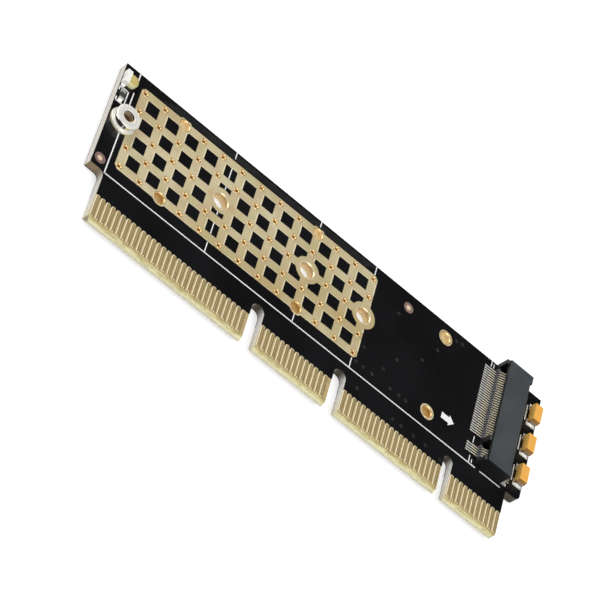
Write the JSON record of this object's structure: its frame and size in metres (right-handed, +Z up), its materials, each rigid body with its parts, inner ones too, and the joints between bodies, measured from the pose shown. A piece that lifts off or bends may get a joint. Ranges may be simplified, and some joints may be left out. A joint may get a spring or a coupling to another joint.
{
  "type": "nvme adapter card",
  "caption": "Flat card with a notched edge connector, a low socket for a solid-state drive module, a threaded post and a bare copper grid that spreads the drive's heat.",
  "frame": {"origin": "under the middle of the card, on the surface that it lies on", "axes": "+X along the card from the drive's post to its socket, +Y from the edge connector to the top edge, +Z up from the component side"},
  "size_m": [0.0896, 0.0314, 0.005],
  "materials": {
    "laminate": "cut glass-fibre laminate, cream at its edges",
    "lacquer": "black gloss solder lacquer",
    "grid_copper": "dull tan-gold plated copper",
    "contact_gold": "smooth gold-plated copper",
    "tinned_pad": "bright solder",
    "tooling_copper": "dull pinkish copper",
    "socket_plastic": "black high-temperature moulding",
    "spring_contact": "gold-flashed spring bronze",
    "tab_steel": "tinned sheet",
    "nickel": "nickel-plated turned steel",
    "capacitor_mould": "orange-yellow moulded epoxy",
    "light_white": "white moulding",
    "light_lens": "yellow translucent resin",
    "resistor_black": "black glazed ceramic"
  },
  "bodies": {
    "root": {"board_laminate": "laminate", "lacquer_back": "lacquer", "lacquer_front": "lacquer", "heat_grid": "grid_copper", "grid_squares": "lacquer", "edge_contacts_front": "contact_gold", "edge_contacts_back": "contact_gold", "post_ring_80": "contact_gold", "post_ring_60": "contact_gold", "post_ring_42": "contact_gold", "post_ring_30": "contact_gold", "pin_pads": "grid_copper", "tooling_pads": "tooling_copper", "socket_pads": "tinned_pad", "component_pads": "tinned_pad", "socket_housing": "socket_plastic", "socket_contacts_lower": "spring_contact", "socket_contacts_upper": "spring_contact", "hold_down_far": "tab_steel", "hold_down_near": "tab_steel", "post_nut": "nickel", "post_screw": "nickel", "capacitor_body_1": "capacitor_mould", "capacitor_body_2": "capacitor_mould", "capacitor_body_3": "capacitor_mould", "capacitor_leads_1": "tab_steel", "capacitor_leads_2": "tab_steel", "capacitor_leads_3": "tab_steel", "light_base": "light_white", "light_lens": "light_lens", "resistor_chip": "resistor_black", "resistor_caps": "tab_steel"}
  },
  "joints": []
}
